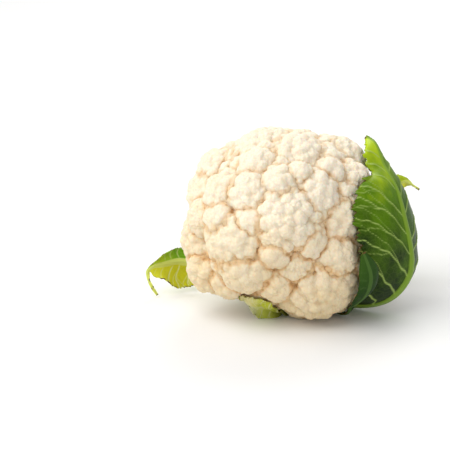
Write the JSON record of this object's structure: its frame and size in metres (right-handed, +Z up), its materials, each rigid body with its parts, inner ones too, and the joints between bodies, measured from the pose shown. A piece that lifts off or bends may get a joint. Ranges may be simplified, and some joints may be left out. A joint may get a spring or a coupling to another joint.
{
  "type": "cauliflower head",
  "caption": "Fresh trimmed cauliflower: a cream curd of clustered florets on a thick cut stalk, with a large green leaf wrapped round one side and small leaves left at the base.",
  "frame": {"origin": "on the surface the head rests on, under the middle of the whole head, leaves included", "axes": "+Z up from the surface, +X towards the side with the large leaf, -Y towards the front that the curd faces"},
  "size_m": [0.243, 0.1651, 0.1632],
  "materials": {
    "curd": "matte",
    "stalk": "matte",
    "leaf_green": "satin",
    "leaf_dark": "satin",
    "leaf_pale": "satin",
    "leaf_yellow": "satin"
  },
  "bodies": {
    "root": {"curd": "curd", "stalk": "stalk", "leaf_large": "leaf_green", "leaf_inner": "leaf_dark", "leaf_front": "leaf_pale", "leaf_left": "leaf_yellow", "leaf_rear": "leaf_yellow"}
  },
  "joints": []
}
